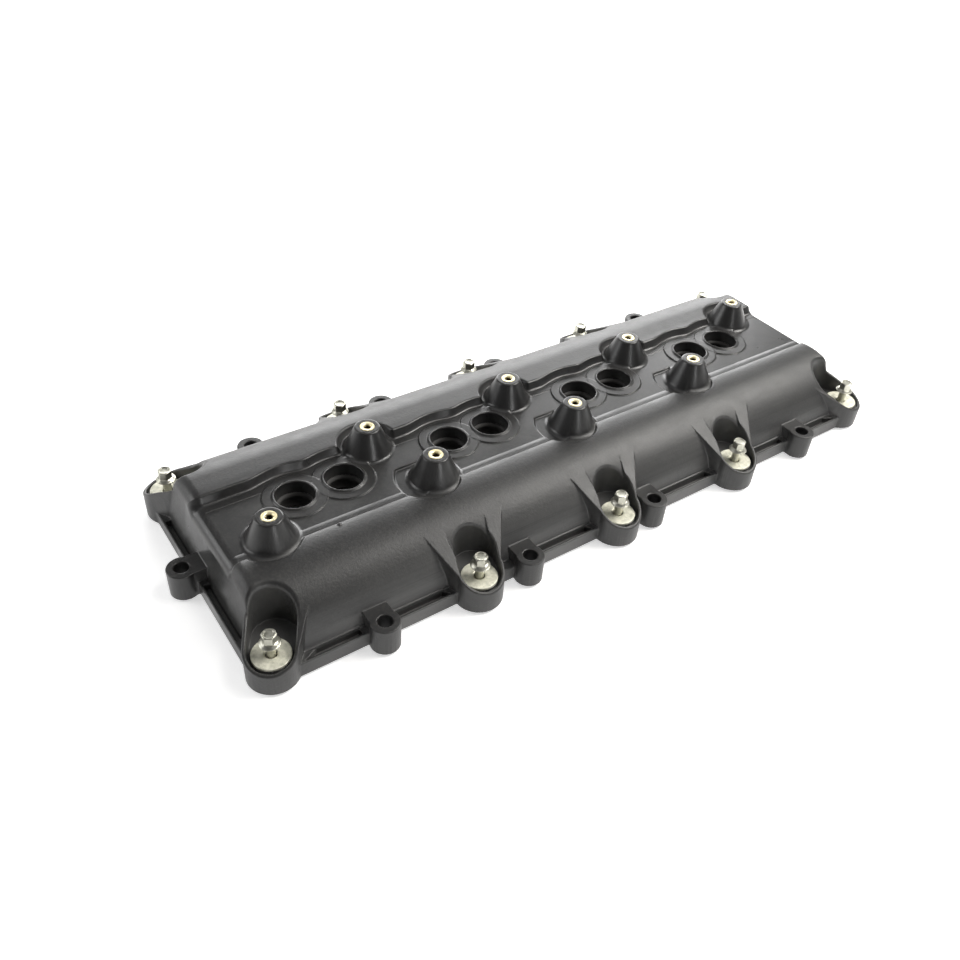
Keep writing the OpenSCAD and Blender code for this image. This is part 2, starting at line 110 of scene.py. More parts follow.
def grazing(side):
    """slope of a middle station's face and how far out it meets the barrel"""
    cy, cz, r = (-NEAR_Y, NEAR_Z, NEAR_R + PROUD) if side < 0 else (FAR_Y, FAR_Z, FAR_R + PROUD)
    run, drop = BOLT_Y + ST_R - cy, RIM_Z - cz
    angle = math.asin(r / math.hypot(run, drop)) - math.atan2(drop, run)
    return math.tan(angle), cy + r * math.sin(angle)


GRAZE = {side: grazing(side) for side in (-1, 1)}


# ------------------------------------------------- distance-field operations
def ru(a, b, r):
    """union with a fillet of radius r"""
    return np.maximum(r, np.minimum(a, b)) - np.hypot(np.maximum(r - a, 0), np.maximum(r - b, 0))


def ri(a, b, r):
    """intersection with its edge rounded to radius r"""
    return np.minimum(-r, np.maximum(a, b)) + np.hypot(np.maximum(r + a, 0), np.maximum(r + b, 0))


def circ(x, y, c, r):
    """distance from a circle"""
    return np.hypot(x - c[0], y - c[1]) - r


def seg(x, y, p, q, r):
    """distance from a slot of radius r whose middle line runs from p to q"""
    dx, dy = q[0] - p[0], q[1] - p[1]
    t = np.clip(((x - p[0]) * dx + (y - p[1]) * dy) / (dx * dx + dy * dy), 0, 1)
    return np.hypot(x - p[0] - t * dx, y - p[1] - t * dy) - r


def rect(x, y, hx, hy, r):
    """distance from a rectangle with half sides hx and hy and corners of radius r"""
    qx, qy = np.abs(x) - hx + r, np.abs(y) - hy + r
    return np.hypot(np.maximum(qx, 0), np.maximum(qy, 0)) + np.minimum(np.maximum(qx, qy), 0) - r


def octagon(x, y):
    """distance from the middle line of the gasket's groove, less than 0 inside it"""
    ax, ay = np.abs(x), np.abs(y)
    diagonal = (ax + ay - (GROOVE_X + GROOVE_Y - GROOVE_CUT)) * 0.70711
    return np.maximum(np.maximum(ax - GROOVE_X, ay - GROOVE_Y), diagonal)


def channel_spans(shortest=9.0):
    """stretches of the channel between stations and clip bosses: start, end, slant of each end"""
    stops = [(x, 16.6, 8.0) if is_end(x) else (x, 20.0, 3.0) for x in ROW_X]
    stops += [(x, 12.0 if abs(x) > 170 else 11.0, 0.0) for x in CLIP_X]
    stops.sort()
    spans = []
    for (a, ra, sa), (b, rb, sb) in zip(stops, stops[1:]):
        if b - rb - a - ra > shortest:
            spans.append((a + ra, b - rb, sa, sb))
    return spans


SPANS = channel_spans()


def barrels(y, z):
    """section of the two barrels and what joins them, before the panel is sunk"""
    dn = np.hypot(y - NEAR_Y, np.maximum(z - NEAR_Z, 0)) - NEAR_R
    df = np.hypot(y - FAR_Y, np.maximum(z - FAR_Z, 0)) - FAR_R
    m = np.minimum(dn, df)
    m = np.minimum(m, np.maximum(np.maximum(NEAR_Y - y, y - FAR_Y), z - PANEL))
    return np.minimum(m, np.maximum(np.maximum(18.0 - y, y - FAR_Y), z - TOP_FAR))


def shell(x, y, z, lo, hi):
    """signed distance of the moulding at points whose x lies between lo and hi"""
    def hit(c, r):
        """whether a feature at x = c that reaches r to each side can matter here"""
        return hi > c - r and lo < c + r

    m = barrels(y, z)

    # sunken panel: straight on the near side, wavy round the wells on the far side
    plan = np.maximum(NEAR_STEP - y, y - FAR_STEP) + 0 * x
    for w in WELLS:
        if hit(w[0], 45):
            plan = ru(plan, circ(x, y, w, 24.6), 6.0)
    for i, c in enumerate(CONES):
        if hit(c[0], 45):
            if i < 4:
                off, r = (2.0, 20.0) if i == 0 else (6.0, 21.5)
                plan = ru(plan, circ(x, y, (c[0] - off, c[1]), r), 1.0)
            else:
                plan = ru(plan, circ(x, y, c, 20.3), 1.2)
    lean = STEP_LEAN * np.clip((y + 4.0) / 14.0, 0, 1)
    cut = ri(PANEL - z, (plan + lean * (TOP_FAR - z)) / np.hypot(1, lean), 1.4)
    body = ri(m, -cut, 1.1)
    end = (np.abs(x) - FOOT_X + (z - SEAT) * math.tan(LEAN)) * math.cos(LEAN)
    body = ri(body, end, END_FILLET[-1 if hi < 0 else 1])

    # shallow recess beside three of the near cones, with the ceiling under it
    for c in CONES[1:4]:
        if hit(c[0], 30):
            dish = np.maximum(y + 2.6, x - c[0] + 2.0)
            dish = np.maximum(circ(x, y, (c[0] - 0.5, c[1] + 1.0), DISH_R), dish)
            dish = np.maximum(dish, c[1] - 12.5 - y)
            body = ri(body, -ri(dish, DISH - z, 1.5), 0.8)
    s = body

    # flange with its channel and inner rib
    r0 = rect(x, y, FL_X, FL_Y, 5.0)
    fl = ri(r0, z - FL_TOP, 0.8)
    fl = np.minimum(fl, ri(r0 + RIB_IN, z - RIB_TOP, 0.5))
    band = np.abs(np.abs(y) - CHANNEL_Y) - CHANNEL_HALF
    inward = CHANNEL_OUT - np.abs(y)
    wide = 2 * CHANNEL_HALF
    channel = np.full_like(r0, 30.0)
    for a, b, sa, sb in SPANS:
        if hi > a and lo < b:
            p = np.maximum(np.maximum(a + sa * inward / wide - x, x - b + sb * inward / wide), band)
            channel = np.minimum(channel, p)
    if hi > 245 or lo < -245:
        band = np.abs(np.abs(x) - CHANNEL_X) - CHANNEL_HALF
        for a, b in END_SPANS:
            channel = np.minimum(channel, np.maximum(np.maximum(a - y, y - b), band))
    fl = ri(fl, -ri(channel, CHANNEL - z, 0.5), 0.5)
    s = ru(s, fl, 0.8)

    # bolt stations
    walls = None
    for sx, side in STATIONS:
        if not hit(sx, 42):
            continue
        at, pe, rch = bolt_place(sx, side), pocket_end(sx, side), reach(sx)
        ay = side * y
        if is_end(sx):
            inx = (x - sx) * -math.copysign(1, sx)
            rise = CORNER_RISE[side]
            length = math.hypot(END_RUN_X, END_RUN_Y)
            ux, uy = END_RUN_X / length, END_RUN_Y / length
            face = (z - RIM_Z - rise * (inx * ux + (rch - ay) * uy + ST_R)) / math.hypot(1, rise)
            tx, ty = ST_R * uy, ST_R * ux
            ex, ey = CORNER_X - tx, rch + ty - CORNER_Y
            web = np.maximum(((inx - CORNER_X) * ey + (ay - CORNER_Y) * ex) / math.hypot(ex, ey),
                             ((ay - rch) * tx - inx * ty) / ST_R)
            web = np.maximum(web, np.maximum(CORNER_Y - ay, -inx))
            st = ri(np.minimum(seg(x, y, at, pe, ST_R), web), face, 0.6)
            soft = 0.7
        else:
            slope, inner = GRAZE[side]
            face = (z - RIM_Z - slope * (rch + ST_R - ay)) / math.hypot(1, slope)
            t = (GUSSET_HALF - ST_R) / (BOLT_Y - inner)
            ax = np.abs(x - sx - (GUSSET_SKEW if side < 0 else 0) * (rch - ay) / (rch - inner))
            vee = np.maximum((ax - ST_R - t * (rch - ay)) / math.hypot(1, t),
                             np.maximum(ay - rch, inner - 0.6 - ay))
            gap = np.maximum(ax - 12.9 - 0.14 * (79.0 - ay), ay - 80.0)
            vee = np.maximum(vee, -gap)
            st = ri(np.minimum(vee, circ(x, y, at, ST_R)), face, 0.6)
            soft = 0.02 + 0.68 * np.clip((ay - inner) / 10.0, 0, 1)
        s = ru(s, st, soft)
        w = seg(x, y, at, pe, POCKET_R + WALL)
        walls = w if walls is None else np.minimum(walls, w)

    # clip bosses, each with a web back to the body
    for cx in CLIP_X:
        if hit(cx, 14):
            for side in (-1, 1):
                ay = side * y
                c = np.minimum(circ(x, ay, (cx, CLIP_Y), CLIP_R),
                               np.maximum(np.abs(x - cx) - WEB, np.maximum(ay - CLIP_Y, 76 - ay)))
                s = ru(s, ri(c, z - CLIP_TOP, 0.8), 0.8)
    if hi > 244 or lo < -244:
        ax = np.abs(x)
        c = np.maximum(np.abs(y - END_CLIP[1]) - WEB, np.maximum(ax - END_CLIP[0], 246 - ax))
        c = np.minimum(circ(ax, y, END_CLIP, CLIP_R), c)
        s = ru(s, ri(c, z - CLIP_TOP, 0.8), 0.8)

    # pads and lips of the wells
    for w in WELLS:
        if hit(w[0], 26):
            d = circ(x, y, w, 0.0)
            s = ru(s, ri(d - PAD_R, np.maximum(z - PANEL - PAD_H, 38.0 - z), 0.4), 0.7)
            s = ru(s, ri(d - LIP_R, np.maximum(z - PANEL - LIP_H, 38.0 - z), 0.8), 0.9)

    # coned bosses
    k = (FOOT_R - TIP_R) / (CONE_TOP - PANEL)
    for c in CONES:
        if hit(c[0], 24):
            d = (circ(x, y, c, TIP_R) - k * (CONE_TOP - z)) / math.hypot(1, k)
            s = ru(s, ri(d, np.maximum(z - CONE_TOP, 36.0 - z), 0.8), 2.4)

    # mould marks
    for n in MARKS:
        if hit(n[0], 4):
            s = ru(s, np.sqrt((x - n[0])**2 + (y - n[1])**2 + (z - n[2])**2) - MARK_R, 0.6)

    # hollow underneath, less the walls of the pockets, the tubes and the baffle's bosses
    hollow = np.maximum(body + WALL, HOLLOW_Z - z)
    for w in WELLS:
        if hit(w[0], 24):
            d = np.maximum(circ(x, y, w, TUBE_R), TUBE_Z - z)
            walls = d if walls is None else np.minimum(walls, d)
    for bx in BOSS_X:
        if hit(bx, 10):
            d = np.maximum(circ(x, y, (bx, BOSS_Y), BOSS_R), BOSS_Z - z)
            walls = d if walls is None else np.minimum(walls, d)
    o = octagon(x, y)
    hollow = np.minimum(hollow, np.maximum(o + RIM_IN, z - (HOLLOW_Z + 0.01)))
    if walls is not None:
        hollow = ri(hollow, -walls, 1.2)
    s = ri(s, -hollow, 0.4)
    s = ri(s, SEAT - z + 0 * s, 0.4)

    # pockets, seats and holes
    for sx, side in STATIONS:
        if hit(sx, 32):
            at, pe = bolt_place(sx, side), pocket_end(sx, side)
            d = circ(x, y, at, 0.0)
            floor = np.minimum(FLOOR_Z - z, np.maximum(FLOOR_Z - RING_DEEP - z, RING_R - d))
            p = ri(seg(x, y, at, pe, POCKET_R), floor, 0.6)
            s = ri(s, -p, 1.1 + (2.0 if is_end(sx) else 0.0) * np.clip((z - 28.0) / 10.0, 0, 1))
            s = np.maximum(s, -np.maximum(d - GROMMET_R, np.maximum(GROMMET_Z - z, z - (FLOOR_Z + 1.0))))
            s = ri(s, -np.maximum(d - SLEEVE_R, z - SLEEVE_Z), 0.3)
    for w in WELLS:
        if hit(w[0], 20):
            d = circ(x, y, w, 0.0)
            s = ri(s, -np.maximum(d - WELL_R, SEAL_TOP - 1.0 - z), 0.8)
            s = ri(s, -np.maximum(d - SEAL_R, z - SEAL_TOP), 0.4)
    for c in CONES:
        if hit(c[0], 10):
            d = circ(x, y, c, 0.0)
            s = ri(s, -np.maximum(d - INSERT_R, INSERT_Z - z), 0.3)
            relief = np.maximum(INSERT_Z - 3.0 - z, z - (INSERT_Z + 1.0))
            s = np.maximum(s, -np.maximum(d - RELIEF_R, relief))
    for cx in CLIP_X:
        if hit(cx, 8):
            s = ri(s, -(circ(x, np.abs(y), (cx, CLIP_Y), CLIP_HOLE) + 0 * z), 0.6)
    if hi > 256 or lo < -256:
        s = ri(s, -(circ(np.abs(x), y, END_CLIP, CLIP_HOLE) + 0 * z), 0.6)
    for bx in BOSS_X:
        if hit(bx, 6):
            s = np.maximum(s, -np.maximum(circ(x, y, (bx, BOSS_Y), PILOT_R), z - PILOT_TOP))
    return ri(s, -np.maximum(np.abs(o) - GROOVE_HALF, z - GROOVE_TOP), 0.35)


# ----------------------------------------------------- surface nets in numpy
def nets(step, low, high, chunk=32):
    """closed quad mesh of the zero level of shell(), in mm: one point in each cell that it crosses"""
    n = [int(math.ceil((h - l) / step)) + 1 for l, h in zip(low, high)]
    ax = [low[i] + step * np.arange(n[i], dtype=np.float64) for i in range(3)]
    field = np.empty(n, np.float32)

    def fill(i):
        j = min(i + chunk, n[0])
        xs = ax[0][i:j]
        field[i:j] = shell(xs[:, None, None], ax[1][None, :, None], ax[2][None, None, :], xs[0], xs[-1])

    with ThreadPoolExecutor(4) as pool:
        list(pool.map(fill, range(0, n[0], chunk)))

    inside = field < 0
    cell = [k - 1 for k in n]
    total = np.zeros(cell + [3], np.float32)
    count = np.zeros(cell, np.int8)
    for axis in range(3):
        a = [slice(None)] * 3
        b = [slice(None)] * 3
        a[axis], b[axis] = slice(0, -1), slice(1, None)
        fa, fb = field[tuple(a)], field[tuple(b)]
        cross = inside[tuple(a)] != inside[tuple(b)]
        t = np.where(cross, fa / np.where(cross, fa - fb, 1), 0).astype(np.float32)
        others = [k for k in range(3) if k != axis]
        for du in (0, 1):
            for dv in (0, 1):
                sl = [slice(None)] * 3
                sl[others[0]] = slice(du, du + cell[others[0]])
                sl[others[1]] = slice(dv, dv + cell[others[1]])
                c = cross[tuple(sl)]
                count += c
                total[..., axis] += np.where(c, t[tuple(sl)], 0)
                total[..., others[0]] += c * np.float32(du)
                total[..., others[1]] += c * np.float32(dv)
    active = count > 0
    index = np.full(cell, -1, np.int32)
    ids = np.argwhere(active)
    index[active] = np.arange(len(ids), dtype=np.int32)
    verts = total[active] / count[active][:, None] + ids
    verts = verts * step + np.array(low)
    faces = []
    for axis in range(3):
        u, v = (axis + 1) % 3, (axis + 2) % 3
        a = [slice(1, -1)] * 3
        b = [slice(1, -1)] * 3
        a[axis], b[axis] = slice(0, -1), slice(1, None)
        ia, ib = inside[tuple(a)], inside[tuple(b)]
        e = np.argwhere(ia != ib)
        out = ia[tuple(e.T)]
        base = e.copy()
        base[:, u] += 1
        base[:, v] += 1
        q = []
        for du, dv in ((1, 1), (0, 1), (0, 0), (1, 0)):
            c = base.copy()
            c[:, u] -= du
            c[:, v] -= dv
            q.append(index[tuple(c.T)])
        q = np.stack(q, 1)
        q[~out] = q[~out][:, ::-1]
        faces.append(q)
    return verts, np.concatenate(faces)


def by_slab(p, work, width=24.0):
    """work(x, y, z, lo, hi) over points sorted into slabs along x"""
    slab = np.floor(p[:, 0] / width).astype(int)
    order = np.argsort(slab, kind="stable")
    cuts = np.flatnonzero(np.diff(slab[order])) + 1
    out = np.empty(len(p))

    def one(idx):
        q = p[idx]
        out[idx] = work(q[:, 0], q[:, 1], q[:, 2], q[:, 0].min(), q[:, 0].max())

    with ThreadPoolExecutor(4) as pool:
        list(pool.map(one, np.split(order, cuts)))
    return out


def gradient(p, h=0.05):
    """slope of the signed distance at points p, by differences over h to each side"""
    g = np.empty_like(p)
    for a in range(3):
        d = np.zeros(3)
        d[a] = h
        g[:, a] = by_slab(p + d, shell) - by_slab(p - d, shell)
    return g / (2 * h)


def settle(p, rounds, limit):
    """moves points onto the zero level, by at most limit in all"""
    start = p.copy()
    for _ in range(rounds):
        g = gradient(p)
        f = by_slab(p, shell)
        g2 = np.maximum((g * g).sum(1), 0.3)
        move = p - g * (f / g2)[:, None] - start
        far = np.linalg.norm(move, axis=1)
        p = start + move * np.minimum(1, limit / np.maximum(far, 1e-9))[:, None]
    return p


def refine(me, rounds=3, gap=0.03, shortest=2.5):
    """splits the longer edges whose middle is off the surface, and puts the new points on it"""
    for _ in range(rounds):
        bm = bmesh.new()
        bm.from_mesh(me)
        ends = np.array([(*e.verts[0].co, *e.verts[1].co) for e in bm.edges]) / MM
        off = np.abs(by_slab((ends[:, :3] + ends[:, 3:]) / 2, shell))
        wide = np.linalg.norm(ends[:, :3] - ends[:, 3:], axis=1) > shortest
        split = [e for e, s in zip(bm.edges, (off > gap) & wide) if s]
        old = len(bm.verts)
        bmesh.ops.subdivide_edges(bm, edges=split, cuts=1)
        bmesh.ops.triangulate(bm, faces=[f for f in bm.faces if len(f.verts) > 3])
        bm.verts.ensure_lookup_table()
        new = [bm.verts[k] for k in range(old, len(bm.verts))]
        if new:
            put = settle(np.array([v.co for v in new], float) / MM, 2, 1.0)
            for v, c in zip(new, put):
                v.co = c * MM
        bm.to_mesh(me)
        bm.free()


def corner_normals(me, p, g):
    """the surface's own normals; a large face takes them from a little way inside itself"""
    tri = np.empty(len(me.loops), np.int32)
    me.loops.foreach_get("vertex_index", tri)
    corner = p[tri].reshape(-1, 3, 3)
    way = corner.mean(1, keepdims=True) - corner
    far = np.linalg.norm(way, axis=2)
    shift = np.clip(far - 1.0, 0, 1.3)
    inside = shift > 0
    n = g[tri].reshape(-1, 3, 3)
    q = corner[inside] + way[inside] * (shift / np.maximum(far, 1e-9))[inside][:, None]
    m = gradient(q, 0.06)
    n[inside] = m / np.maximum(np.linalg.norm(m, axis=1), 1e-9)[:, None]
    return n.reshape(-1, 3)


# ------------------------------------------------------------ mesh utilities
def linked(name, data):
    """a new object in the scene"""
    ob = bpy.data.objects.new(name, data)
    bpy.context.scene.collection.objects.link(ob)
    return ob


def new_object(name, me, mat, body, stands_for):
    """a visual piece that rides a body and replaces some of the frame's nodes"""
    ob = linked(name, me)
    me.materials.append(mat)
    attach(ob, body)
    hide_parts(*stands_for)


def fast_mesh(name, verts, faces):
    """mesh from arrays, in metres, whose faces all have the same number of corners"""
    me = bpy.data.meshes.new(name)
    k = faces.shape[1]
    me.vertices.add(len(verts))
    me.vertices.foreach_set("co", np.asarray(verts, np.float32).ravel())
    me.loops.add(faces.size)
    me.loops.foreach_set("vertex_index", faces.astype(np.int32).ravel())
    me.polygons.add(len(faces))
    me.polygons.foreach_set("loop_start", np.arange(0, faces.size, k, dtype=np.int32))
    me.update(calc_edges=True)
    me.validate()
    return me


def ring_mesh(name, rings, closed=False, smooth=32.0):
    """quads between equal rings of points; a one-point ring closes an end"""
    verts, start = [], []
    for r in rings:
        start.append(len(verts))
        verts.extend(tuple(float(c) * MM for c in p) for p in r)
    faces = []
    pairs = list(zip(range(len(rings)), range(1, len(rings))))
    if closed:
        pairs.append((len(rings) - 1, 0))
    for i, j in pairs:
        a, b = rings[i], rings[j]
        n = max(len(a), len(b))
        for k in range(n):
            k2 = (k + 1) % n
            if len(a) == 1:
                faces.append((start[i], start[j] + k2, start[j] + k))
            elif len(b) == 1:
                faces.append((start[i] + k, start[i] + k2, start[j]))
            else:
                faces.append((start[i] + k, start[i] + k2, start[j] + k2, start[j] + k))
    me = bpy.data.meshes.new(name)
    me.from_pydata(verts, [], faces)
    bm = bmesh.new()
    bm.from_mesh(me)
    bmesh.ops.recalc_face_normals(bm, faces=bm.faces)
    bm.to_mesh(me)
    bm.free()
    for p in me.polygons:
        p.use_smooth = True
    me.set_sharp_from_angle(angle=math.radians(smooth))
    return me


def polar(centre, r, z, k, n):
    """the k-th of n points round a circle"""
    a = 2 * math.pi * k / n
    return (centre[0] + r * math.cos(a), centre[1] + r * math.sin(a), z)


def lathe(centre, profile, n):
    """rings of n points for a profile of (radius, height); radius 0 gives one point"""
    return [[polar(centre, r, z, k, n) for k in range(n)] if r > 1e-6 else [(*centre, z)]
            for r, z in profile]


def arc(cx, cz, r, a0, a1, n):
    """n + 1 points of a profile from angle a0 to a1, in degrees"""
    return [(cx + r * math.cos(math.radians(a0 + (a1 - a0) * i / n)),
             cz + r * math.sin(math.radians(a0 + (a1 - a0) * i / n))) for i in range(n + 1)]


# ------------------------------------------------------------------ materials
def material(name):
    """material, its node tree, its shader and its object coordinates"""
    m = bpy.data.materials.new(name)
    m.use_nodes = True
    nt = m.node_tree
    b = nt.nodes["Principled BSDF"]
    tc = nt.nodes.new("ShaderNodeTexCoord")
    return m, nt, b, tc.outputs["Object"]


def noise(nt, co, scale, detail=3.0, rough=0.55, stretch=None):
    """fractal noise; stretch multiplies each coordinate first"""
    if stretch:
        mp = nt.nodes.new("ShaderNodeMapping")
        mp.inputs["Scale"].default_value = stretch
        nt.links.new(co, mp.inputs["Vector"])
        co = mp.outputs[0]
    n = nt.nodes.new("ShaderNodeTexNoise")
    n.inputs["Scale"].default_value = scale
    n.inputs["Detail"].default_value = detail
    n.inputs["Roughness"].default_value = rough
    nt.links.new(co, n.inputs["Vector"])
    return n.outputs["Fac"]


def ramp(nt, fac, stops):
    """stops: (position, grey or colour)"""
    r = nt.nodes.new("ShaderNodeValToRGB")
    e = r.color_ramp.elements
    while len(e) < len(stops):
        e.new(0.5)
    for el, (p, c) in zip(e, stops):
        el.position = p
        el.color = (c, c, c, 1) if isinstance(c, float) else (*c, 1)
    nt.links.new(fac, r.inputs[0])
    return r.outputs[0]


def calc(nt, op, a, b):
    """maths on two sockets or numbers"""
    m = nt.nodes.new("ShaderNodeMath")
    m.operation = op
    for i, v in enumerate((a, b)):
        if isinstance(v, (int, float)):
            m.inputs[i].default_value = v
        else:
            nt.links.new(v, m.inputs[i])
    return m.outputs[0]


def mix(nt, fac, a, b):
    """colour a where fac is 0, b where it is 1; each is a socket or a value"""
    m = nt.nodes.new("ShaderNodeMix")
    m.data_type = "RGBA"
    for sock, v in ((m.inputs[0], fac), (m.inputs[6], a), (m.inputs[7], b)):
        if isinstance(v, (int, float)):
            sock.default_value = v
        elif isinstance(v, tuple):
            sock.default_value = (*v, 1)
        else:
            nt.links.new(v, sock)
    return m.outputs[2]


def bump(nt, b, layers):
    """layers: (height socket, strength, distance in metres)"""
    prev = None
    for h, s, d in layers:
        n = nt.nodes.new("ShaderNodeBump")
        n.inputs["Strength"].default_value = s
        n.inputs["Distance"].default_value = d
        nt.links.new(h, n.inputs["Height"])
        if prev is not None:
            nt.links.new(prev, n.inputs["Normal"])
        prev = n.outputs[0]
    nt.links.new(prev, b.inputs["Normal"])


def where(nt, value, low, high):
    """0 below low, 1 above high"""
    m = nt.nodes.new("ShaderNodeMapRange")
    m.inputs["From Min"].default_value = low
    m.inputs["From Max"].default_value = high
    nt.links.new(value, m.inputs["Value"])
    return m.outputs[0]


def axis(nt, co, k):
    """x, y or z of a vector for k = 0, 1 or 2"""
    sep = nt.nodes.new("ShaderNodeSeparateXYZ")
    nt.links.new(co, sep.inputs[0])
    return sep.outputs[k]


def attribute(nt, title):
    """a mesh's own value at each point"""
    n = nt.nodes.new("ShaderNodeAttribute")
    n.attribute_name = title
    return n.outputs["Fac"]


def nylon():
    """black moulded nylon: dusty upper faces, a painted highlight on convex edges, hollows painted paler
    as painted fill light, matt grained barrels
    """
    m, nt, b, co = material("black_nylon")
    cloud = noise(nt, co, 26.0, 4.0)
    grain = noise(nt, co, 1300.0, 2.0, 0.6)
    speck = noise(nt, co, 520.0, 3.0, 0.65)
    scuff = noise(nt, co, 95.0, 6.0, 0.7)
    base = ramp(nt, cloud, [(0.3, (0.0145, 0.0145, 0.0150)), (0.72, (0.0200, 0.0198, 0.0195))])
    geo = nt.nodes.new("ShaderNodeNewGeometry")
    up = ramp(nt, axis(nt, geo.outputs["Normal"], 2), [(0.15, 0.0), (0.95, 1.0)])
    side = calc(nt, "ABSOLUTE", axis(nt, co, 1), 0.0)
    barrel = where(nt, side, 0.031, 0.036)
    dust = calc(nt, "MULTIPLY", up, ramp(nt, speck, [(0.45, 0.0), (0.78, 0.35)]))
    col = mix(nt, dust, base, (0.055, 0.052, 0.045))
    # painted fill light: hollows and pockets painted paler, in place of light reaching into them
    col = mix(nt, calc(nt, "MULTIPLY", attribute(nt, "hollow"), 0.8), col, (0.085, 0.085, 0.083))
    # painted highlight: convex edges painted lighter, broken up by the scuff noise
    sharp = ramp(nt, attribute(nt, "edge"), [(0.35, 0.0), (0.9, 1.0)])
    edge_highlight_paint = calc(nt, "MULTIPLY", sharp, ramp(nt, scuff, [(0.3, 0.15), (0.7, 0.65)]))
    col = mix(nt, edge_highlight_paint, col, (0.070, 0.068, 0.064))
    nt.links.new(col, b.inputs["Base Color"])
    matt = calc(nt, "MULTIPLY", barrel, calc(nt, "SUBTRACT", 0.13, calc(nt, "MULTIPLY", sharp, 0.10)))
    rough = calc(nt, "ADD", ramp(nt, scuff, [(0.3, 0.27), (0.75, 0.36)]), matt)
    nt.links.new(calc(nt, "ADD", rough, calc(nt, "MULTIPLY", dust, 0.2)), b.inputs["Roughness"])
    b.inputs["IOR"].default_value = 1.53
    b.inputs["Specular IOR Level"].default_value = 0.52
    coarse = calc(nt, "MULTIPLY", speck, calc(nt, "ADD", 0.20, barrel))
    bump(nt, b, [(scuff, 0.10, 0.0003), (coarse, 0.42, 0.00024), (grain, 0.20, 0.00010)])
    return m


def metal(name, low, high, rough, scale=400.0, bumpy=0.1, metallic=1.0, stretch=None, shaded_bore=None):
    """blotched metal between two colours and two roughnesses

    the heights given for a threaded hole are where the colour fades to dark brown, partly old oil and
    partly painted shade down the hole
    """
    m, nt, b, co = material(name)
    blot = noise(nt, co, scale * 0.3, 4.0, 0.6)
    fine = noise(nt, co, scale * 4, 3.0, 0.6, stretch)
    col = ramp(nt, blot, [(0.32, low), (0.7, high)])
    # painted shade: the colour fades to dark brown down a threaded hole, partly old oil
    if shaded_bore:
        col = mix(nt, where(nt, axis(nt, co, 2), *shaded_bore), (0.030, 0.020, 0.010), col)
    nt.links.new(col, b.inputs["Base Color"])
    nt.links.new(ramp(nt, fine, [(0.3, rough[0]), (0.7, rough[1])]), b.inputs["Roughness"])
    b.inputs["Metallic"].default_value = metallic
    bump(nt, b, [(blot, bumpy, 0.0002), (fine, bumpy, 0.00006)])
    return m


def rubber(name, low, high):
    """dull grained rubber between two colours"""
    m, nt, b, co = material(name)
    cloud = noise(nt, co, 120.0, 4.0)
    grain = noise(nt, co, 1600.0, 3.0, 0.6)
    nt.links.new(ramp(nt, cloud, [(0.3, low), (0.72, high)]), b.inputs["Base Color"])
    nt.links.new(ramp(nt, grain, [(0.3, 0.55), (0.7, 0.7)]), b.inputs["Roughness"])
    bump(nt, b, [(cloud, 0.1, 0.0003), (grain, 0.25, 0.00008)])
    return m


NYLON = nylon()
ZINC = metal("zinc_bolt", (0.36, 0.36, 0.30), (0.62, 0.61, 0.54), (0.30, 0.46), 420.0, 0.15)
WASHER = metal("zinc_washer", (0.62, 0.62, 0.50), (1.0, 0.98, 0.84), (0.45, 0.65), 900.0, 0.3, 0.45)
STEEL = metal("sleeve_steel", (0.42, 0.42, 0.42), (0.6, 0.6, 0.6), (0.3, 0.45))
# the brass is painted darker down its threaded hole, partly as painted shade
BRASS = metal("turned_brass", (0.92, 0.80, 0.46), (1.0, 0.93, 0.68), (0.30, 0.45), 900.0, 0.12, 0.55,
              shaded_bore=(0.0592, 0.0606))
SHEET = metal("baffle_sheet", (0.55, 0.56, 0.58), (0.70, 0.71, 0.73), (0.30, 0.44), 300.0,
              stretch=(1.0, 14.0, 1.0))
SEAL = rubber("seal_rubber", (0.030, 0.029, 0.028), (0.052, 0.050, 0.047))
GASKET = rubber("gasket_rubber", (0.02, 0.02, 0.022), (0.035, 0.035, 0.037))
GROMMET = rubber("grommet_rubber", (0.018, 0.018, 0.018), (0.03, 0.03, 0.03))

# ---------------------------------------------------------------- cover shell
STEP = 0.75
GRID_LOW, GRID_HIGH = (-274.2, -108.0, -0.7), (274.2, 108.0, 62.7)
BOX_LOW, BOX_HIGH = (-271.9, -105.85, 1.5), (271.9, 105.85, 61.3)
MOST_TRIANGLES = 190000
SIDES = ((1, 0, 0), (-1, 0, 0), (0, 1, 0), (0, -1, 0), (0, 0, 1), (0, 0, -1))


def thinned(me, ratio):
    """the mesh decimated to that share of its triangles, in place of the old one"""
    ob = linked("tmp", me)
    ob.modifiers.new("dec", "DECIMATE").ratio = ratio
    bpy.context.view_layer.update()
    thin = bpy.data.meshes.new_from_object(ob.evaluated_get(bpy.context.evaluated_depsgraph_get()))
    bpy.data.objects.remove(ob)
    bpy.data.meshes.remove(me)
    return thin


def edges_and_hollows(p, g, near=0.9, deep=3.0):
    """how sharply the surface bends outwards at each point, and how enclosed it is, from 0 to 1; the
    material paints a highlight by the first and paints fill light into hollows by the second
    """
    around = sum(by_slab(p + np.array(d) * near, shell) for d in SIDES)
    edge = np.clip(around / near / 2.0, 0, 1)
    hollow = np.clip(1.2 - 1.2 * by_slab(p + deep * g, shell) / deep, 0, 1)
    # pockets get stronger painted fill light towards their floors
    for sx, side in STATIONS:
        inside = seg(p[:, 0], p[:, 1], bolt_place(sx, side), pocket_end(sx, side), POCKET_R + 0.7)
        pocket_fill_paint = np.clip(1.4 * hollow + 0.9 - 0.02 * (p[:, 2] - 16), 0, 1)
        hollow = np.where((inside < 0) & (p[:, 2] > 14), pocket_fill_paint, hollow)
    return edge, hollow


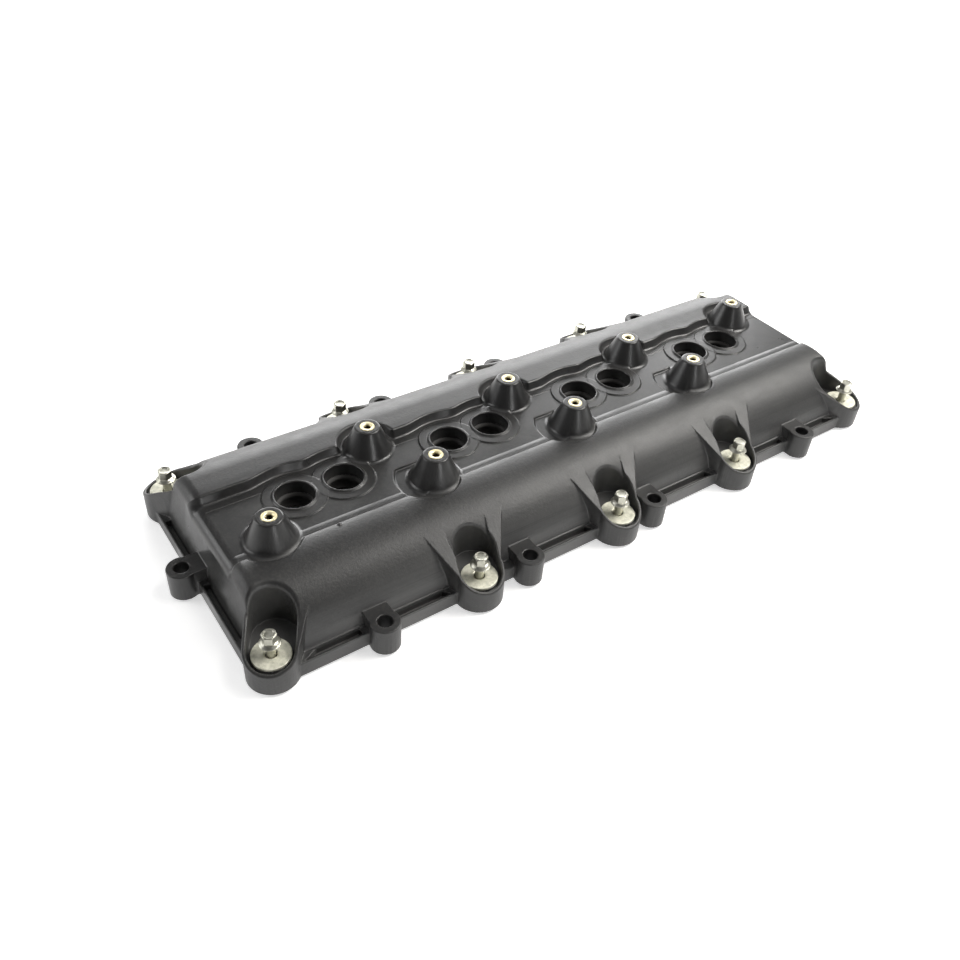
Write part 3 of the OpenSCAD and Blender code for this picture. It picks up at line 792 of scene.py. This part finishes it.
verts, quads = nets(STEP, GRID_LOW, GRID_HIGH)
verts = settle(verts, 1, STEP * 0.6)
grid = fast_mesh("cover_shell_grid", verts * MM, quads)
skin = thinned(grid, min(1.0, MOST_TRIANGLES / (2.0 * len(quads))))
skin.name = "cover_shell_skin"
refine(skin)
flat = np.empty(len(skin.vertices) * 3, np.float32)
skin.vertices.foreach_get("co", flat)
points = settle(flat.reshape(-1, 3).astype(float) / MM, 1, 0.25)
points = np.clip(points, BOX_LOW, BOX_HIGH)
skin.vertices.foreach_set("co", (points * MM).astype(np.float32).ravel())
slope = gradient(points, 0.06)
slope /= np.maximum(np.linalg.norm(slope, axis=1), 1e-9)[:, None]
# edge drives a painted highlight and hollow drives painted fill light in the nylon
for title, value in zip(("edge", "hollow"), edges_and_hollows(points, slope)):
    skin.attributes.new(title, "FLOAT", "POINT").data.foreach_set("value", value.astype(np.float32))
for poly in skin.polygons:
    poly.use_smooth = True
skin.normals_split_custom_set(corner_normals(skin, points, slope).tolist())
skin.update()
new_object("cover_shell_moulding", skin, NYLON, "cover", ["cover_shell"])

# ---------------------------------------------------------------------- bolts
HEX_AF, BOLT_N = 8.0, 72
TIP = 0.3
THREAD_TOP = TIP + 17.0
SHANK_TOP = TIP + 27.0
FLANGE_TOP = SHANK_TOP + 2.2
HEAD_TOP = FLANGE_TOP + 5.4


def hex_ring(centre, z, turn, cap=99.0):
    """hexagon with its corners blunted by 0.12, cut to a circle of radius cap"""
    pts = []
    for k in range(BOLT_N):
        a = 2 * math.pi * k / BOLT_N
        b = (a - turn + math.pi / 6) % (math.pi / 3) - math.pi / 6
        r = min(HEX_AF / 2 / math.cos(b), HEX_AF / 2 / math.cos(math.pi / 6) - 0.12, cap)
        pts.append(polar(centre, r, z, k, BOLT_N))
    return pts


def thread_rings(centre, r_top, depth, z0, z1, n, fade, pitch=1.0, per=8):
    """a helical groove from z0 to z1 that fades out at both ends; a depth below 0 cuts outwards

    n points in each ring, per rings in each turn
    """
    rings = []
    steps = int((z1 - z0) / pitch * per)
    for i in range(steps + 1):
        z = z0 + (z1 - z0) * i / steps
        w = max(min(1.0, (z - z0) / fade, (z1 - z) / fade), 0.0)
        turns = [(z / pitch - k / n) % 1.0 for k in range(n)]
        cuts = [depth * (1.0 - min(1.0, abs(t - 0.5) * 2.5)) * w for t in turns]
        rings.append([polar(centre, r_top - d, z, k, n) for k, d in enumerate(cuts)])
    return rings


for i, (sx, side) in enumerate(STATIONS):
    c = bolt_place(sx, side)
    turn = math.radians((17 * (i + 1) * 7) % 60)
    rings = lathe(c, [(0, TIP), (1.9, TIP), (2.35, TIP + 0.35)], BOLT_N)
    rings += thread_rings(c, 3.0, 0.55, TIP + 0.9, THREAD_TOP, BOLT_N, 1.2)
    rings += lathe(c, [(2.95, TIP + 17.3), (2.7, TIP + 17.8), (2.7, SHANK_TOP - 0.9),
                       (2.95, SHANK_TOP - 0.35), (3.4, SHANK_TOP - 0.02), (5.4, SHANK_TOP)]
                   + arc(5.85, SHANK_TOP + 0.35, 0.35, -90, 75, 5)
                   + [(5.3, SHANK_TOP + 1.35), (4.75, SHANK_TOP + 2.0)], BOLT_N)
    rings += [hex_ring(c, FLANGE_TOP + dz, turn) for dz in (0.1, 0.5, 3.0)]
    rings += [hex_ring(c, HEAD_TOP - dz, turn, 3.62 + dz * 1.35)
              for dz in (1.3, 0.9, 0.7, 0.55, 0.42, 0.3, 0.2, 0.1, 0.04, 0.0)]
    rings += lathe(c, [(3.3, HEAD_TOP), (3.0, HEAD_TOP - 0.08), (2.7, HEAD_TOP - 0.42),
                       (1.2, HEAD_TOP - 0.55), (0, HEAD_TOP - 0.55)], BOLT_N)
    me = ring_mesh("captive_bolt_%d" % (i + 1), rings, smooth=28)
    bolt = "bolt_%d" % (i + 1)
    new_object("captive_bolt_%d" % (i + 1), me, ZINC, bolt, [bolt])

# -------------------------------------------------------------------- washers
for i, (sx, side) in enumerate(STATIONS):
    c = bolt_place(sx, side)
    z0, z1 = FLOOR_Z, FLOOR_Z + 2.0
    prof = ([(3.5, z0 + 0.3), (3.5, z1 - 0.55), (4.15, z1 - 0.06), (4.5, z1), (7.5, z1 - 0.03), (10.9, z1)]
            + arc(11.0, z1 - 0.5, 0.5, 90, 0, 4) + [(11.5, z0 + 0.35), (11.15, z0), (3.8, z0)])
    me = ring_mesh("wide_washer_%d" % (i + 1), lathe(c, prof, 72), closed=True)
    new_object("wide_washer_%d" % (i + 1), me, WASHER, "cover", ["washer_%d" % (i + 1)])

# -------------------------------------------------------------------- inserts
INSERT_N = 60
for i, c in enumerate(CONES):
    z0, z1 = INSERT_Z, INSERT_TOP
    rings = lathe(c, [(4.3, z0), (4.8, z0 + 0.5), (4.8, z0 + 3.4), (4.4, z0 + 3.8), (4.4, z0 + 5.2),
                      (4.8, z0 + 5.6), (4.8, z1 - 0.18), (4.66, z1 - 0.02), (4.4, z1), (3.25, z1),
                      (3.1, z1 - 0.05), (2.6, z1 - 0.55)], INSERT_N)
    rings += thread_rings(c, 2.5, -0.5, z0 + 0.3, z1 - 0.7, INSERT_N, 0.6)[::-1]
    rings += lathe(c, [(2.6, z0 + 0.05), (3.0, z0)], INSERT_N)
    me = ring_mesh("threaded_insert_%d" % (i + 1), rings, closed=True)
    node = "brass_insert_%d" % (i + 1)
    new_object("threaded_insert_%d" % (i + 1), me, BRASS, "cover", [node])

# ---------------------------------------------------------------------- seals
SEAL_RINGS = 3
for i, c in enumerate(WELLS):
    z0 = SEAL_TOP - SEAL_LONG
    prof = [(12.8, z0), (13.9, z0), (14.35, z0 + 0.4)]
    for k in range(SEAL_RINGS):
        zz = z0 + 1.6 + 3.0 * k
        prof += [(14.0, zz), (14.35, zz + 0.6), (14.35, zz + 1.5), (14.0, zz + 2.1)]
    prof += [(14.35, z0 + 11.4), (14.1, z0 + 12.0), (12.3, z0 + 12.0), (11.9, z0 + 11.75),
             (11.5, z0 + 11.35), (10.9, z0 + 10.7), (10.62, z0 + 10.0), (10.9, z0 + 9.2),
             (11.4, z0 + 8.3), (11.6, z0 + 6.0), (11.4, z0 + 3.7), (10.9, z0 + 3.1),
             (10.65, z0 + 2.5), (10.9, z0 + 1.8), (12.3, z0 + 0.5)]
    me = ring_mesh("plug_tube_seal_%d" % (i + 1), lathe(c, prof, 96), closed=True, smooth=50)
    new_object("plug_tube_seal_%d" % (i + 1), me, SEAL, "cover", ["well_seal_%d" % (i + 1)])


# --------------------------------------------------------------------- gasket
GASKET_STEPS = (4, 77, 4, 21) * 2


def octagon_ring(w, z):
    """outline of the groove's middle line moved outwards by w, every corner cut at 45 degrees"""
    k = math.tan(math.radians(22.5))
    gx, gy = GROOVE_X, GROOVE_Y
    a, b = gy - GROOVE_CUT + w * k, gx - GROOVE_CUT + w * k
    pts = [(gx + w, a), (b, gy + w), (-b, gy + w), (-gx - w, a),
           (-gx - w, -a), (-b, -gy - w), (b, -gy - w), (gx + w, -a)]
    ring = []
    for m, (x0, y0), (x1, y1) in zip(GASKET_STEPS, pts, pts[1:] + pts[:1]):
        ring += [(x0 + (x1 - x0) * t / m, y0 + (y1 - y0) * t / m, z) for t in range(m)]
    return ring


prof = [(-1.0, 0.0), (-0.6, 0.45), (0.0, 0.6), (0.6, 0.45), (1.0, 0.0)]
half = [(1.45, 0.15), (1.65, 0.7), (1.5, 1.5), (1.9, 1.9), (1.9, 2.3),
        (1.5, 2.7), (1.5, 3.6), (1.88, 4.0), (1.7, 4.7), (1.2, 5.0)]
prof += half + [(-w, z) for w, z in reversed(half)]
me = ring_mesh("rim_gasket", [octagon_ring(w, z) for w, z in prof], closed=True, smooth=50)
new_object("rim_gasket", me, GASKET, "cover", ["perimeter_gasket"])

# ------ sleeves, grommets, baffle and its screws keep their CAD shapes, with better materials
KEPT = (("sleeve", STEEL), ("grommet", GROMMET), ("oil_baffle", SHEET))
for name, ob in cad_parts.items():
    if not ob.hide_render:
        ob.data.materials.clear()
        ob.data.materials.append(next((m for start, m in KEPT if name.startswith(start)), ZINC))

# --------------------------------------------------- stage, light and camera
FLOOR_HALF, FLOOR_LEVEL, FLOOR_GLOW = 6, -0.0003, 0.56
corners = [(x * FLOOR_HALF, y * FLOOR_HALF, FLOOR_LEVEL) for x, y in ((-1, -1), (1, -1), (1, 1), (-1, 1))]
floor = bpy.data.meshes.new("floor")
floor.from_pydata(corners, [], [(0, 1, 2, 3)])
fo = linked("floor", floor)
fm, nt, b, co = material("floor_white")
white = ramp(nt, noise(nt, co, 3.0), [(0.3, (0.90, 0.90, 0.90)), (0.7, (0.92, 0.92, 0.92))])
nt.links.new(white, b.inputs["Base Color"])
b.inputs["Roughness"].default_value = 0.9
b.inputs["Specular IOR Level"].default_value = 0.1
b.inputs["Emission Color"].default_value = (1, 1, 1, 1)
# no glow under the cover, where it would show through the wells
open_x = where(nt, calc(nt, "ABSOLUTE", axis(nt, co, 0), 0.0), 0.240, 0.250)
open_y = where(nt, calc(nt, "ABSOLUTE", axis(nt, co, 1), 0.0), 0.072, 0.082)
glow = calc(nt, "MULTIPLY", calc(nt, "MAXIMUM", open_x, open_y), FLOOR_GLOW)
nt.links.new(glow, b.inputs["Emission Strength"])
floor.materials.append(fm)

# sky: bright low down and dim overhead, and brighter away from the camera
world = bpy.data.worlds.new("studio")
bpy.context.scene.world = world
world.use_nodes = True
wt = world.node_tree
sky = wt.nodes.new("ShaderNodeTexCoord").outputs["Generated"]
height = ramp(wt, axis(wt, sky, 2), [(0.0, 1.0), (0.15, 0.90), (0.40, 0.30), (1.0, 0.14)])
away = calc(wt, "ADD", calc(wt, "MULTIPLY", axis(wt, sky, 0), 0.6),
            calc(wt, "MULTIPLY", axis(wt, sky, 1), 0.8))
sweep = ramp(wt, where(wt, away, -1.0, 1.0), [(0.0, 0.22), (0.5, 0.66), (1.0, 1.0)])
wt.links.new(mix(wt, height, (0.0, 0.0, 0.0), sweep), wt.nodes["Background"].inputs[0])
wt.nodes["Background"].inputs[1].default_value = 0.85


def softbox(name, place, aim, size, power, tint=(1, 1, 1)):
    """rectangular lamp at a place, turned to its aim"""
    lamp = bpy.data.lights.new(name, "AREA")
    lamp.shape = "RECTANGLE"
    lamp.size, lamp.size_y = size
    lamp.energy = power
    lamp.color = tint
    ob = linked(name, lamp)
    ob.location = place
    ob.rotation_euler = (Vector(aim) - Vector(place)).to_track_quat("-Z", "Y").to_euler()


softbox("key", (0.98, -0.34, 1.12), (0, -0.05, 0.03), (1.0, 0.42), 20.0, (1.0, 0.98, 0.94))
softbox("over", (0.42, -0.40, 1.40), (0, -0.05, 0.03), (0.6, 0.3), 5.0, (1.0, 0.98, 0.95))
softbox("streak", (-0.12, -1.45, 0.28), (0, -0.02, 0.05), (0.16, 0.4), 2.4)
softbox("back", (0.75, 1.35, 0.55), (0, 0.03, 0.05), (1.7, 0.7), 27.0)
softbox("left", (-1.5, 0.9, 0.75), (0, 0, 0.03), (1.0, 0.8), 9.0)
softbox("top", (-0.5, 0.5, 2.2), (0, 0, 0), (1.6, 1.6), 5.0)

# camera solved from the photo: azimuth, elevation, roll, place and lens
AZ, EL, ROLL = math.radians(-37.23), math.radians(40.21), math.radians(4.48)
CAMERA_AT, LENS = (-0.3511, -0.39794, 0.4237), 34.35
back = Vector((math.sin(AZ) * math.cos(EL), -math.cos(AZ) * math.cos(EL), math.sin(EL)))
right = Vector((0, 0, 1)).cross(back).normalized()
up = back.cross(right)
right, up = (math.cos(ROLL) * right + math.sin(ROLL) * up,
             -math.sin(ROLL) * right + math.cos(ROLL) * up)
cam = bpy.data.cameras.new("camera")
cam.sensor_width = 36.0
cam.lens = LENS
cam.clip_start = 0.01
camera = linked("camera", cam)
camera.matrix_world = Matrix([(*row, at) for *row, at in zip(right, up, back, CAMERA_AT)] + [(0, 0, 0, 1)])
bpy.context.scene.camera = camera
bpy.context.scene.view_settings.view_transform = "Standard"
bpy.context.scene.view_settings.look = "None"
